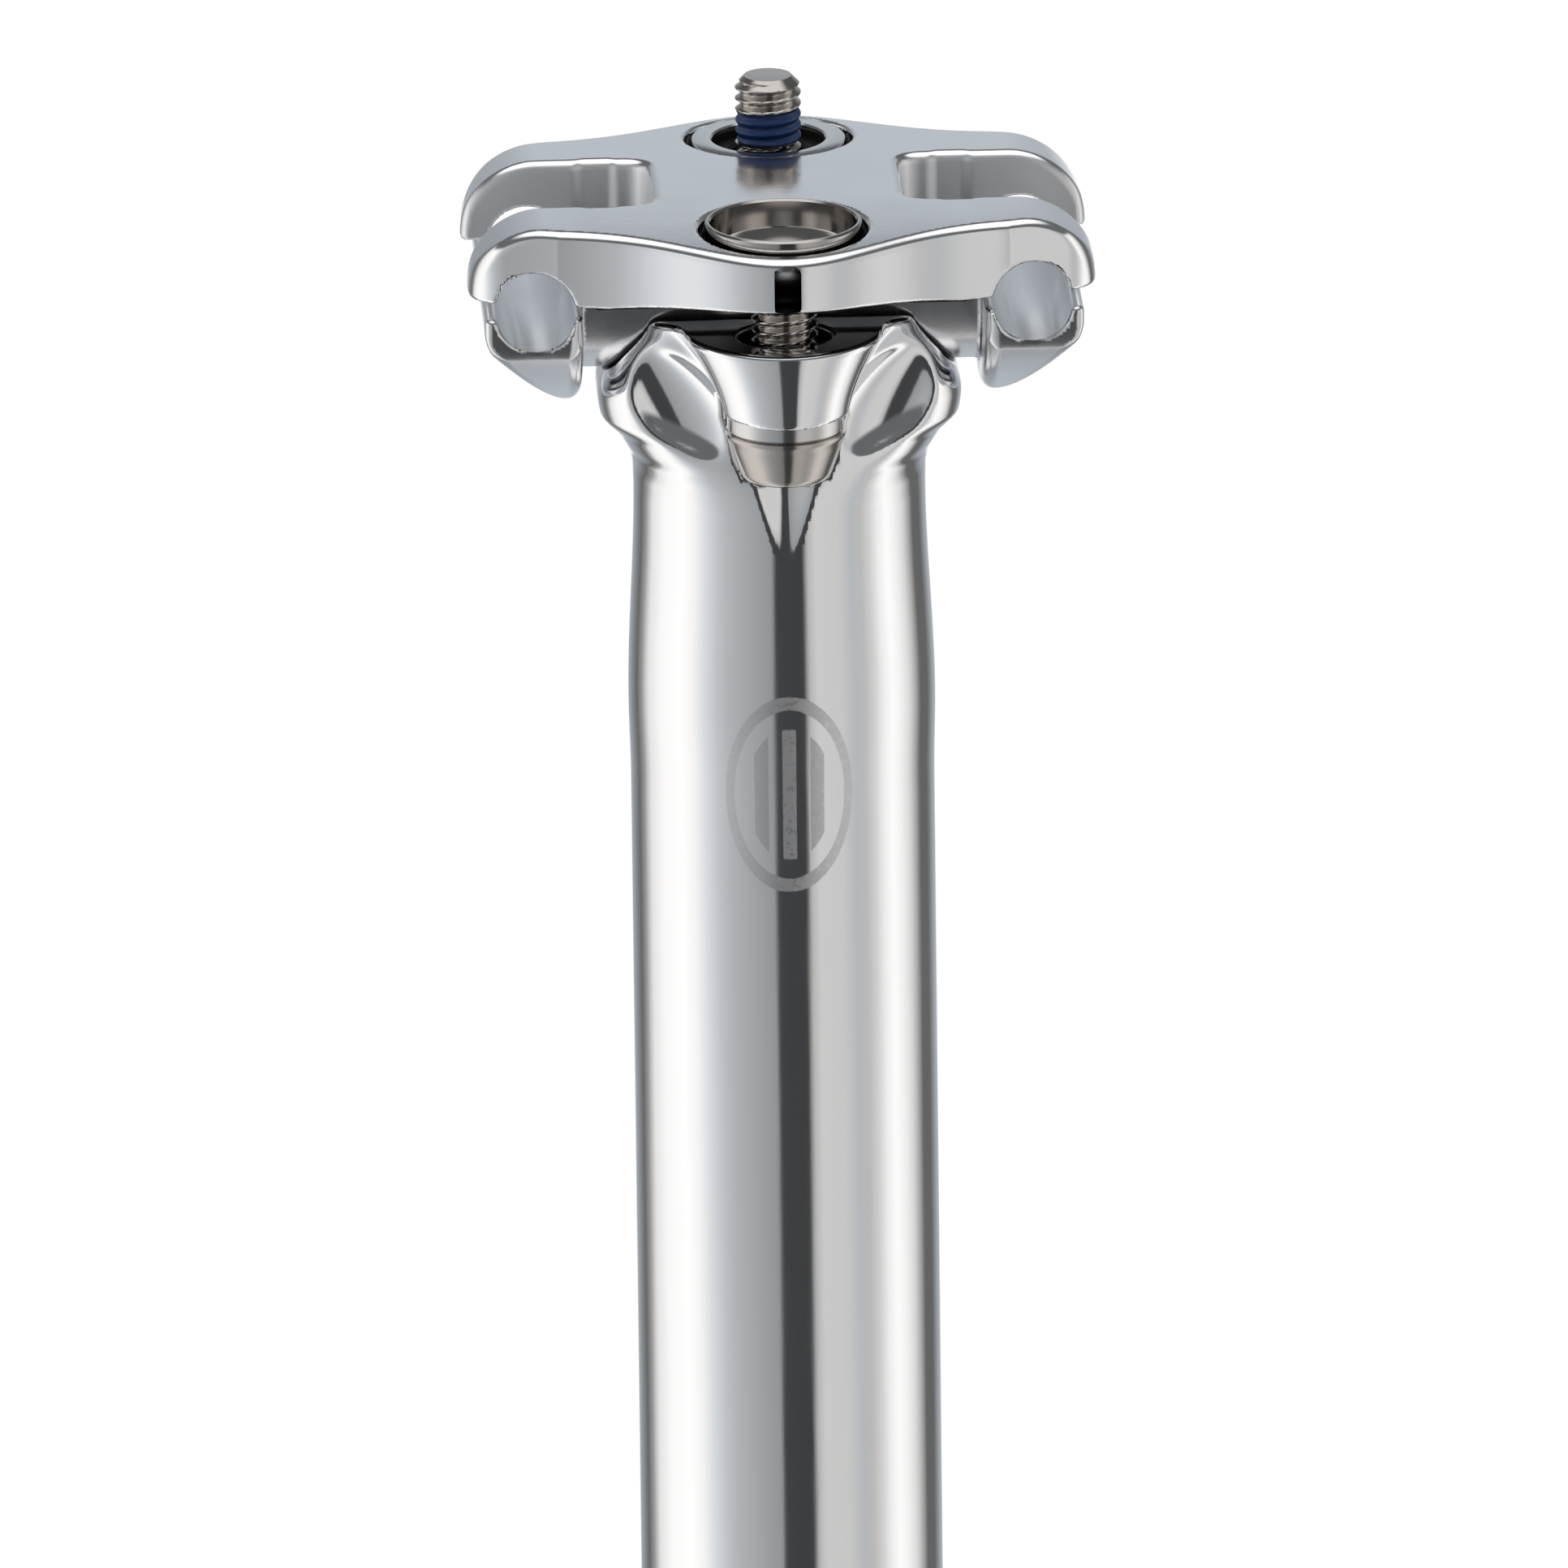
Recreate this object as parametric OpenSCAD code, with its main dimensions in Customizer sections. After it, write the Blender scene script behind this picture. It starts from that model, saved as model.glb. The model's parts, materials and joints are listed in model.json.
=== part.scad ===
// Rigid bicycle seatpost with a two-bolt rail clamp.
// +Z is up along the post, -Y is the front, the rails run along Y. Millimetres.
// The origin is the middle of the post's lower end.

/* [Post] */
// Outside diameter of the post
post_d = 27.2; // [25:0.1:34]
// Wall of the tube
post_wall = 2.2; // [1.6:0.1:3]
// Height of the rails' centre above the post's lower end
post_length = 350; // [200:1:450]
// How much narrower the waist under the head is than the post
waist_in = 1.1; // [0:0.1:1.6]
// How much wider the slight swelling below the waist is than the post
swell_out = 0.28; // [0:0.02:1]

/* [Head] */
// Width of the head across the trough, at its widest
head_w = 32.6; // [28:0.1:42]
// Width of the head at its top edge
head_top_w = 25.6; // [20:0.1:28]
// Depth of the head's middle block, front to back
head_block_l = 22.8; // [21:0.1:30]
// Radius of the boss round each bolt
boss_r = 7; // [6:0.1:9]
// Height of each bolt boss
boss_h = 7; // [5:0.1:10]
// Gap from the rails' centre down to the head's top
head_top_drop = 2.6; // [2:0.1:4]
// Diameter of the key pocket below each bolt
pocket_d = 12.4; // [12:0.1:16]
// Lean of the key pocket, away from the post
pocket_lean = 30; // [24:1:36]

/* [Clamp] */
// Distance between the rails' centres
rail_spacing = 44; // [40:0.5:56]
// Diameter of a saddle rail
rail_d = 7; // [6:0.1:8]
// Gap between the upper clamp's fingers and the cradle
clamp_gap = 0.9; // [0.5:0.1:1.5]
// Radius of the cradle's barrel, about the tilt axis
barrel_r = 9; // [7.5:0.1:9.4]
// Length of the cradle's grooves
cradle_l = 30.6; // [24:0.1:44]
// Reach of the cradle's end block past the rail's centre
block_reach = 4.6; // [4.5:0.1:7]
// Thickness of the upper clamp's plate above the rails' centre
plate_top = 7.7; // [7:0.1:9]
// Depth of the upper clamp at its fingers
finger_span = 28.8; // [26:0.1:40]
// Width of the slot between two fingers
finger_slot = 13.4; // [8:0.1:16]
// Reach of a finger past the rail's centre
finger_reach = 6.2; // [5:0.1:8]

/* [Bolts] */
// Distance between the two bolts
bolt_spacing = 28.5; // [28:0.1:34]
// Outside diameter of the bolts' thread
bolt_d = 5.9; // [5:0.1:6.2]
// Height of the rear bolt's end above the rails' centre
rear_bolt_top = 13.1; // [11:0.1:18]
// Height of the front bolt's end above the rails' centre
front_bolt_top = 3.8; // [3:0.1:6]
// Largest diameter of a bolt's head
bolt_head_d = 10.7; // [9:0.1:11]
// Height of a bolt's head
bolt_head_h = 4.4; // [4:0.1:6]
// Size of the hex key, across the flats
key_af = 5; // [4:0.5:6]
// Outside diameter of a domed washer
washer_d = 10.4; // [9.6:0.1:11]
// Height of a domed washer's straight rim
washer_rim = 1.7; // [1:0.1:2.5]
// Outside diameter of a nut
nut_d = 13.9; // [13:0.1:14.5]
// Wall of the front nut's cup
cup_wall = 0.5; // [0.4:0.1:1]
// Diameter of the recess in the rear nut
nut_recess_d = 10.1; // [9:0.1:11]

/* [Hidden] */
$fn = 96;

post_r = post_d / 2;
rail_r = rail_d / 2;
rail_x = rail_spacing / 2;
bolt_y = bolt_spacing / 2;
bolt_r = bolt_d / 2;
waist_r = (post_d - waist_in) / 2;
swell_r = (post_d + swell_out) / 2;

// Clearances
turn_gap = 0.08;      // cradle in the trough, washer in its seat, nut in its seat
thread_gap = 0.5;     // bolt in the nut's thread, which is opened for the tilt
swing_gap = 1.2;      // bolt in the head's hole, for the bolt's lean
fit_gap = 0.1;        // washer on the bolt
body_gap = 0.75;      // nut in the plate's hole
side_gap = 1.5;       // end block of the cradle beside the head
eps = 0.01;

// Heights, from the rails' centre down or up
boss_bottom = -head_top_drop - boss_h;
dome_rise = 1.2;                                     // washer's dome above its rim
dome_r = 12;                                         // radius of the washer's dome
washer_top = boss_bottom + dome_rise;
swivel_z = washer_top - dome_r;                      // the bolt leans about this height
washer_bottom = boss_bottom - washer_rim;
wide_z = -11.8;                                      // the head's widest level
waist_z = -20.5;
swell_z = -40;
plain_z = -47.5;                                     // the post is a plain tube below here
bore_top_z = -32;                                    // the tube's bore ends in a cone
bore_cone = 7;

nut_centre_z = 8.5;                                  // the nut tilts about this height
nut_seat_r = 8;                                      // radius of the nut's rounded underside
nut_bottom = 0.5;
spigot_d = 9;
ledge_d = 11.6;
front_nut_top = 8;
rear_nut_top = 7.3;
recess_floor = 6.1;
patch_wall = 0.35;
rear_patch_z = [7, 10];
front_patch_z = [1.2, 3];
tip_chamfer = 0.9;

// The lower half of a channel and its block
groove_top = -clamp_gap * 0.45;
finger_bottom = clamp_gap * 0.55;
belly_r = 18.5;                                      // rounded underside of the end blocks
belly_z = 7;
block_x0 = head_w / 2 + side_gap;
block_x1 = rail_x + block_reach;
barrel_top = -0.9;

// The upper clamp's plan, one quarter, from the front's middle to the finger
plate_front = bolt_y + 8.8;
slot_x = 11.3;
finger_x = rail_x + finger_reach;
top_flat_x = rail_x - 1;

// Radius of the post at a depth below the rails' centre, from the waist to the plain tube
function ease(a, b, t) = a + (b - a) * (1 - cos(180 * t)) / 2;
function neck_r(z) =
    z > swell_z ? ease(waist_r, swell_r, (z - waist_z) / (swell_z - waist_z))
                : ease(swell_r, post_r, (z - swell_z) / (plain_z - swell_z));

module at_rails() {
    translate([0, 0, post_length]) children();
}

// side is -1 for the front bolt and 1 for the rear bolt
module at_bolt(side) {
    at_rails() translate([0, side * bolt_y, 0]) children();
}

module both_bolts() {
    for (side = [-1, 1]) translate([0, side * bolt_y, 0]) children();
}

module both_ends() {
    children();
    mirror([1, 0, 0]) children();
}

// The points of one side, then the same points mirrored, last to first
function mirrored(points) =
    concat(points, [for (i = [len(points) - 1 : -1 : 0]) [-points[i][0], points[i][1]]]);

// Outline in X and Z, given for the right-hand side, made solid along Y
module front_outline(points, depth) {
    rotate([90, 0, 0]) translate([0, 0, -depth / 2]) linear_extrude(depth) polygon(mirrored(points));
}

module head_plan() {
    fillet = 2.5;
    half = head_block_l / 2;
    difference() {
        union() {
            square([head_w, head_block_l], center = true);
            for (side = [-1, 1]) translate([0, side * bolt_y]) circle(boss_r);
            square([2 * (boss_r + fillet), 2 * (half + fillet)], center = true);
        }
        for (x = [-1, 1], y = [-1, 1])
            translate([x * (boss_r + fillet), y * (half + fillet)]) circle(fillet);
    }
}

module head_block() {
    boss_front = bolt_y + boss_r;
    slope_z = waist_z + 2;
    intersection() {
        translate([0, 0, waist_z]) linear_extrude(-head_top_drop - waist_z) head_plan();
        front_outline([
            [head_top_w / 2, -head_top_drop],
            [head_w / 2, wide_z + 0.8],
            [head_w / 2, wide_z],
            [ease(head_w / 2, waist_r, 0.55), wide_z - 3],
            [waist_r, waist_z + 1.8],
            [waist_r, waist_z]
        ], 3 * boss_front);
        rotate_extrude() polygon([
            [0, -head_top_drop],
            [boss_front, -head_top_drop],
            [boss_front, boss_bottom],
            [waist_r, slope_z],
            [waist_r, waist_z],
            [0, waist_z]
        ]);
    }
}

module neck() {
    steps = 18;
    depth = waist_z - plain_z;
    rotate_extrude() polygon(concat(
        [[0, wide_z], [waist_r - 1, wide_z], [waist_r, waist_z + 2]],
        [for (i = [0 : steps]) [neck_r(waist_z - depth * i / steps), waist_z - depth * i / steps]],
        [[0, plain_z]]
    ));
}

module post() {
    shaft_top = post_length + plain_z;
    color("gainsboro") difference() {
        union() {
            cylinder(r = post_r, h = shaft_top);
            at_rails() neck();
            at_rails() head_block();
        }
        // the tube's bore
        translate([0, 0, -eps]) cylinder(r = post_r - post_wall, h = post_length + bore_top_z);
        translate([0, 0, post_length + bore_top_z - 2 * eps])
            cylinder(r1 = post_r - post_wall, r2 = 3, h = bore_cone);
        at_rails() {
            // the trough that the cradle turns in
            rotate([0, 90, 0]) cylinder(r = barrel_r + turn_gap, h = 2 * head_w, center = true);
            // bolt holes, washer seats and key pockets
            both_bolts() {
                translate([0, 0, boss_bottom - 1]) cylinder(r = bolt_r + swing_gap, h = -boss_bottom);
                intersection() {
                    translate([0, 0, swivel_z]) sphere(dome_r + turn_gap);
                    translate([0, 0, boss_bottom - 1]) cylinder(d = pocket_d, h = boss_h);
                }
            }
            for (side = [-1, 1]) key_pocket(side);
        }
    }
}

module key_pocket(side) {
    reach = 30;
    intersection() {
        translate([0, side * bolt_y, washer_bottom]) rotate([side * pocket_lean, 0, 0])
            cylinder(d = pocket_d, h = 2 * reach, center = true);
        translate([0, 0, boss_bottom - reach]) cylinder(r = 2 * reach, h = reach);
    }
}

module rail_channels(length) {
    for (x = [-1, 1]) translate([x * rail_x, 0, 0]) rotate([90, 0, 0])
        cylinder(r = rail_r, h = length, center = true);
}

module lower_cradle() {
    block_edge = -3.7;
    belly_bottom = belly_z - belly_r;
    color("silver") at_rails() difference() {
        union() {
            intersection() {
                rotate([0, 90, 0]) cylinder(r = barrel_r, h = 2 * block_x0 + 1, center = true);
                translate([-head_w, -head_w, barrel_top - 2 * head_w]) cube(2 * head_w);
            }
            intersection() {
                translate([0, 0, belly_z]) rotate([0, 90, 0])
                    cylinder(r = belly_r, h = 2 * block_x1, center = true);
                translate([-block_x1, -cradle_l / 2, belly_bottom])
                    cube([2 * block_x1, cradle_l, groove_top - belly_bottom]);
                both_ends() rotate([90, 0, 0]) translate([0, 0, -cradle_l / 2])
                    linear_extrude(cradle_l) polygon([
                        [block_x0, groove_top],
                        [block_x1, groove_top],
                        [block_x1 - 0.3, block_edge],
                        [block_x0 + 2.3, belly_bottom + 0.6],
                        [block_x0 + 1.2, belly_bottom],
                        [block_x0, belly_bottom]
                    ]);
            }
        }
        rail_channels(cradle_l + 2);
    }
}

// Plan of the upper clamp: one front quarter, from the finger's side to the middle, then mirrored
module plate_plan() {
    finger_y = finger_span / 2;
    corner = 3.5;
    quarter = [
        [finger_x, -finger_y + corner],
        for (a = [15 : 15 : 75]) [
            finger_x - corner + corner * cos(a),
            -finger_y + corner - corner * sin(a)
        ],
        [finger_x - corner, -finger_y],
        [20, -finger_y],
        [15.5, -finger_y - 1.3],
        [12, -finger_y - 2.7],
        [8.8, -plate_front + 2.3],
        [7.1, -plate_front + 1.6],
        [3.3, -plate_front]
    ];
    front = mirrored(quarter);
    polygon(concat(front, [for (i = [len(front) - 1 : -1 : 0]) [front[i][0], -front[i][1]]]));
}

module upper_clamp() {
    arch = 1.5;
    edge_r = plate_top - finger_bottom;
    color("gainsboro") at_rails() difference() {
        intersection() {
            linear_extrude(plate_top) plate_plan();
            front_outline(concat(
                [[top_flat_x, plate_top]],
                [for (a = [15 : 15 : 75]) [
                    top_flat_x + (finger_x - top_flat_x) * sin(a),
                    finger_bottom + 1 + (edge_r - 1) * cos(a)
                ]],
                [[finger_x, finger_bottom + 1], [finger_x, finger_bottom], [15.7, finger_bottom]],
                [for (x = [12 : -3 : 3]) [x, finger_bottom + arch * cos(90 * x / 15.7)]]
            ), 3 * plate_front);
        }
        rail_channels(3 * plate_front);
        // slots between the fingers
        for (x = [-1, 1]) translate([x * (slot_x + finger_x / 2), 0, 0])
            cube([finger_x, finger_slot, 3 * plate_top], center = true);
        // seats and holes for the nuts
        both_bolts() {
            cylinder(d = ledge_d, h = 3 * plate_top, center = true);
            translate([0, 0, nut_centre_z]) intersection() {
                sphere(nut_seat_r + turn_gap);
                cylinder(d = nut_d + 2 * body_gap, h = 2 * nut_seat_r, center = true);
            }
            translate([0, 0, nut_centre_z - 3]) cylinder(d = nut_d + 2 * body_gap, h = plate_top);
        }
    }
}

module bolt(top, patch_z) {
    socket_depth = 3.2;
    head_top = washer_bottom;
    difference() {
        rotate_extrude() polygon([
            [0, head_top - bolt_head_h],
            [bolt_head_d / 2 - 1.7, head_top - bolt_head_h],
            [bolt_head_d / 2 - 0.2, head_top - 0.7],
            [bolt_head_d / 2, head_top - 0.4],
            [bolt_head_d / 2, head_top],
            [bolt_r, head_top],
            [bolt_r, patch_z[0]],
            [bolt_r - patch_wall, patch_z[0]],
            [bolt_r - patch_wall, patch_z[1]],
            [bolt_r, patch_z[1]],
            [bolt_r, top - tip_chamfer],
            [bolt_r - tip_chamfer, top],
            [0, top]
        ]);
        translate([0, 0, head_top - bolt_head_h - eps])
            cylinder(d = key_af / cos(30), h = socket_depth, $fn = 6);
    }
}

module front_bolt() {
    color("slategray") at_bolt(-1) bolt(front_bolt_top, front_patch_z);
}

module rear_bolt() {
    color("slategray") at_bolt(1) bolt(rear_bolt_top, rear_patch_z);
}

module patch(patch_z) {
    translate([0, 0, patch_z[0]]) difference() {
        cylinder(r = bolt_r, h = patch_z[1] - patch_z[0]);
        translate([0, 0, -1]) cylinder(r = bolt_r - patch_wall, h = patch_z[1] - patch_z[0] + 2);
    }
}

module front_bolt_patch() {
    color("royalblue") at_bolt(-1) patch(front_patch_z);
}

module rear_bolt_patch() {
    color("royalblue") at_bolt(1) patch(rear_patch_z);
}

module washer() {
    difference() {
        intersection() {
            translate([0, 0, swivel_z]) sphere(dome_r);
            translate([0, 0, washer_bottom]) cylinder(d = washer_d, h = washer_rim + 2 * dome_rise);
        }
        translate([0, 0, washer_bottom - 1]) cylinder(r = bolt_r + fit_gap, h = 3 * washer_rim);
    }
}

module front_washer() {
    color("darkgray") at_bolt(-1) washer();
}

module rear_washer() {
    color("darkgray") at_bolt(1) washer();
}

// The nut's outer form: a flange rounded below, and a spigot through the clamp's ledge
module nut_body(top) {
    intersection() {
        translate([0, 0, nut_centre_z]) sphere(nut_seat_r);
        translate([0, 0, nut_bottom]) cylinder(d = nut_d, h = top - nut_bottom);
    }
    translate([0, 0, nut_bottom]) cylinder(d = spigot_d, h = nut_centre_z - nut_seat_r + 2);
}

module thread_hole() {
    translate([0, 0, nut_bottom - 1]) cylinder(r = bolt_r + thread_gap, h = 2 * nut_centre_z);
}

module front_nut() {
    cup_r = nut_d / 2 - cup_wall;
    floor_z = 3.4;
    color("rosybrown") at_bolt(-1) difference() {
        nut_body(front_nut_top);
        thread_hole();
        intersection() {
            translate([0, 0, nut_centre_z]) sphere(nut_seat_r - 0.9);
            translate([0, 0, floor_z]) cylinder(r = cup_r, h = nut_seat_r);
        }
    }
}

module rear_nut() {
    color("darkgray") at_bolt(1) difference() {
        nut_body(rear_nut_top);
        thread_hole();
        translate([0, 0, recess_floor]) cylinder(d = nut_recess_d, h = nut_seat_r);
    }
}

post();
lower_cradle();
upper_clamp();
front_bolt();
rear_bolt();
front_bolt_patch();
rear_bolt_patch();
front_washer();
rear_washer();
front_nut();
rear_nut();
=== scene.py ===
import json
import math

import bpy
import numpy as np
from mathutils import Matrix, Vector


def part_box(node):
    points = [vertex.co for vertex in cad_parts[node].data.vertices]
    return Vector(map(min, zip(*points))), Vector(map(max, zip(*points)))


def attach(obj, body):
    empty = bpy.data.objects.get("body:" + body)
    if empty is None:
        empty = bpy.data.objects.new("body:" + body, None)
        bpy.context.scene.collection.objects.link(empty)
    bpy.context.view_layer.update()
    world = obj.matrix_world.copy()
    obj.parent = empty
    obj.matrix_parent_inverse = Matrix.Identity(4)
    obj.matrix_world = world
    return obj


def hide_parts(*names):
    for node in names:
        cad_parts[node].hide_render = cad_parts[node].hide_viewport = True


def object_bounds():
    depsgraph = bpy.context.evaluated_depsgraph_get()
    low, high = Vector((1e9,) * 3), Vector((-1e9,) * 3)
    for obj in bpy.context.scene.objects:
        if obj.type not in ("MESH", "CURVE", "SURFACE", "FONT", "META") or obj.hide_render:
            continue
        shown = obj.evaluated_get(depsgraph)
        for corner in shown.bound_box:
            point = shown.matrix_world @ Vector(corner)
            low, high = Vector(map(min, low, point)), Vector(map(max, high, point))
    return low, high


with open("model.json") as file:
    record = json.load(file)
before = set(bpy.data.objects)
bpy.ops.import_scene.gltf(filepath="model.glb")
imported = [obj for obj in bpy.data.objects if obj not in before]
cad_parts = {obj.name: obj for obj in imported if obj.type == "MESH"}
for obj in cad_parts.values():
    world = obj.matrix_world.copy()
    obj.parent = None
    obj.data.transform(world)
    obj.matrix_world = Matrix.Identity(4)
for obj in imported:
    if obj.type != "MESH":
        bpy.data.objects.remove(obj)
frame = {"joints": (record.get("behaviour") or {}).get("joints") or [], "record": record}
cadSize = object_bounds()
print("frame loaded")

# Places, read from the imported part. Shapes below are in millimetres from the rails' centre.
joints = {j["name"]: j for j in frame["joints"]}
mounts = {m["name"]: m for m in frame["record"]["mounts"]}
railsHeight = joints["saddle_tilt"]["pos_m"][2]
boltY = joints["rear_bolt_turn"]["pos_m"][1] * 1000
swivelZ = (joints["rear_washer_swivel"]["pos_m"][2] - railsHeight) * 1000
nutCentreZ = (joints["rear_nut_swivel"]["pos_m"][2] - railsHeight) * 1000
tubeRadius = mounts["shaft"]["dims"]["r_mm"]
railX = mounts["rail_right"]["pos_m"][0] * 1000
railRadius = mounts["rail_right"]["dims"]["r_mm"]


def boxOf(node):  # lowest and highest corner of a CAD node
    centre = np.array([0, 0, railsHeight * 1000])
    low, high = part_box(node)
    return np.array(low) * 1000 - centre, np.array(high) * 1000 - centre


postLow, postHigh = boxOf("post")
clampLow, clampHigh = boxOf("upper_clamp")
cradleLow, cradleHigh = boxOf("lower_cradle")
washerLow = boxOf("rear_washer")[0]
coarse = 1.0
smallest = 1e-9  # keeps a root or a division away from nothing


# Distance fields. A field is negative inside the solid.
def roundedUnion(a, b, r):
    u, v = np.maximum(r - a, 0), np.maximum(r - b, 0)
    return np.maximum(r, np.minimum(a, b)) - np.sqrt(u * u + v * v)


def roundedBoth(a, b, r):
    u, v = np.maximum(r + a, 0), np.maximum(r + b, 0)
    return np.minimum(-r, np.maximum(a, b)) + np.sqrt(u * u + v * v)


def cutAway(a, tool, r):
    return roundedBoth(a, -tool, r)


def softUnion(a, b, k):
    h = np.maximum(k - np.abs(a - b), 0) / k
    return np.minimum(a, b) - h**3 * k / 6


def softCut(a, tool, k):
    return -softUnion(-a, tool, k)


def ease(t):
    t = np.clip(t, 0, 1)
    return (1 - np.cos(np.pi * t)) / 2


def curve(z, knots, values):  # smooth through the values at the knots, with no overshoot
    k, v = np.array(knots, float), np.array(values, float)
    h, d = np.diff(k), np.diff(v) / np.diff(k)
    m = np.zeros(len(k))
    same = d[1:] * d[:-1] > 0
    w1, w2 = 2 * h[1:] + h[:-1], h[1:] + 2 * h[:-1]
    with np.errstate(divide="ignore", invalid="ignore"):
        m[1:-1] = np.where(same, (w1 + w2) / (w1 / d[:-1] + w2 / d[1:]), 0)
    m[0], m[-1] = 0, 0
    z = np.clip(z, k[0], k[-1])
    i = np.clip(np.searchsorted(k, z, "right") - 1, 0, len(k) - 2)
    t = (z - k[i]) / h[i]
    a, b = v[i], v[i + 1]
    return (
        a * (1 + 2 * t) * (1 - t) ** 2
        + m[i] * h[i] * t * (1 - t) ** 2
        + b * t * t * (3 - 2 * t)
        + m[i + 1] * h[i] * t * t * (t - 1)
    )


def longDrop(x, y, z, a, b, r):  # an ellipsoid of radius r, from a little before a to a little past b
    a, b = np.array(a, float), np.array(b, float)
    m, d = (a + b) / 2, (b - a) / np.linalg.norm(b - a)
    px, py, pz = x - m[0], y - m[1], z - m[2]
    along = px * d[0] + py * d[1] + pz * d[2]
    across = px * px + py * py + pz * pz - along * along
    reach = np.linalg.norm(b - a) * 0.62
    return (np.sqrt((along / reach) ** 2 + np.maximum(across, 0) / r**2 + smallest) - 1) * r


def gradientOf(field, p, e=0.01):
    g = np.empty_like(p)
    for i in range(3):
        d = np.zeros(3)
        d[i] = e
        g[:, i] = (field(*(p + d).T) - field(*(p - d).T)) / (2 * e)
    return g


# Points, quads and normals of the surface where the field is zero.
def netFrom(field, low, high, step, closed=True, passes=3):
    size = [int(math.ceil((high[i] - low[i]) / step)) + 1 for i in range(3)]
    axes = [low[i] + step * np.arange(size[i]) for i in range(3)]
    v = np.empty(size)
    slab = 24  # layers worked at a time, to keep memory small
    for i in range(0, size[0], slab):
        grid = np.meshgrid(axes[0][i : i + slab], axes[1], axes[2], indexing="ij")
        v[i : i + slab] = field(*grid)
    inside = v < 0
    corners = [(i, j, k) for i in (0, 1) for j in (0, 1) for k in (0, 1)]
    n = [s - 1 for s in size]
    part = lambda a, c: a[c[0] : c[0] + n[0], c[1] : c[1] + n[1], c[2] : c[2] + n[2]]
    count = sum(part(inside, c).astype(np.int8) for c in corners)
    active = (count > 0) & (count < 8)
    cells = np.argwhere(active)
    index = np.full(n, -1)
    index[active] = np.arange(len(cells))
    total, hits = np.zeros((len(cells), 3)), np.zeros(len(cells))
    for c in corners:
        for axis in range(3):
            if c[axis]:
                continue
            d = list(c)
            d[axis] = 1
            va = v[tuple((cells + c).T)]
            vb = v[tuple((cells + d).T)]
            cross = (va < 0) != (vb < 0)
            t = np.where(cross, va / np.where(cross, va - vb, 1), 0)
            at = cells + np.array(c, float)
            at[:, axis] += t
            total += at * cross[:, None]
            hits += cross
    p = np.array(low) + step * total / hits[:, None]
    quads = []
    for axis in range(3):
        one, two = [(1, 2), (2, 0), (0, 1)][axis]
        a = np.take(inside, range(size[axis] - 1), axis)
        b = np.take(inside, range(1, size[axis]), axis)
        at = np.argwhere(a != b)
        at = at[(at[:, one] > 0) & (at[:, one] < n[one]) & (at[:, two] > 0) & (at[:, two] < n[two])]
        ring = []
        for s, t in ((1, 1), (0, 1), (0, 0), (1, 0)):
            cell = at.copy()
            cell[:, one] -= s
            cell[:, two] -= t
            ring.append(index[tuple(cell.T)])
        q = np.array(ring).T
        flip = ~a[tuple(at.T)]
        q[flip] = q[flip][:, ::-1]
        quads.append(q)
    quads = np.vstack(quads)
    rim = rimOf(quads)
    flatRim = None if closed else rim
    for _ in range(passes):
        p = relaxed(field, pulled(field, p, step, flatRim), quads, rim)
    p = pulled(field, pulled(field, p, step, flatRim), step, flatRim)
    g = gradientOf(field, p)
    return p, quads, g / np.linalg.norm(g, axis=1)[:, None]


def rimOf(quads):  # edges with one face only, each in its face's direction
    e = np.vstack([quads[:, [i, (i + 1) % 4]] for i in range(4)])
    key = np.sort(e, 1)
    order = key[:, 0].astype(np.int64) * (quads.max() + 1) + key[:, 1]
    _, first, times = np.unique(order, return_index=True, return_counts=True)
    return e[first[times == 1]]


def pulled(field, p, step, rim):  # points moved onto the surface, the rim's only sideways
    for _ in range(2):
        g = gradientOf(field, p)
        if rim is not None and len(rim):
            g[np.unique(rim), 2] = 0
        d = field(*p.T) / np.maximum((g * g).sum(1), 1e-6)
        move = g * d[:, None]
        far = np.linalg.norm(move, axis=1)
        p = p - move * np.minimum(1, 0.6 * step / np.maximum(far, smallest))[:, None]
    return p


def relaxed(field, p, quads, rim):  # points evened out along the surface
    around, times = np.zeros_like(p), np.zeros(len(p))
    for i in range(4):
        for j in (1, 3):
            np.add.at(around, quads[:, i], p[quads[:, (i + j) % 4]])
            np.add.at(times, quads[:, i], 1)
    move = around / times[:, None] - p
    g = gradientOf(field, p)
    g /= np.maximum(np.linalg.norm(g, axis=1), smallest)[:, None]
    move -= g * (move * g).sum(1)[:, None]
    move[np.unique(rim)] = 0
    return p + 0.5 * move


def makePiece(name, points, faces, normals=None, sharp=35):  # given normals, or edges sharp past an angle
    points = np.asarray(points, float) / 1000 + [0, 0, railsHeight]
    mesh = bpy.data.meshes.new(name)
    mesh.from_pydata(points.tolist(), [], [list(map(int, f)) for f in faces])
    mesh.polygons.foreach_set("use_smooth", [True] * len(mesh.polygons))
    if normals is None:
        mesh.set_sharp_from_angle(angle=math.radians(sharp))
    else:
        loops = np.empty(len(mesh.loops), int)
        mesh.loops.foreach_get("vertex_index", loops)
        flat = np.empty(len(mesh.polygons) * 3)
        mesh.polygons.foreach_get("normal", flat)
        sizes = np.empty(len(mesh.polygons), int)
        mesh.polygons.foreach_get("loop_total", sizes)
        own = np.repeat(flat.reshape(-1, 3), sizes, 0)
        wanted = normals[loops]
        wrong = (wanted * own).sum(1) < 0.6  # a corner's normal that leaves its face too far
        wanted[wrong] = own[wrong]
        mesh.normals_split_custom_set(wanted.tolist())
    piece = bpy.data.objects.new(name, mesh)
    bpy.context.scene.collection.objects.link(piece)
    return piece


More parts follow.
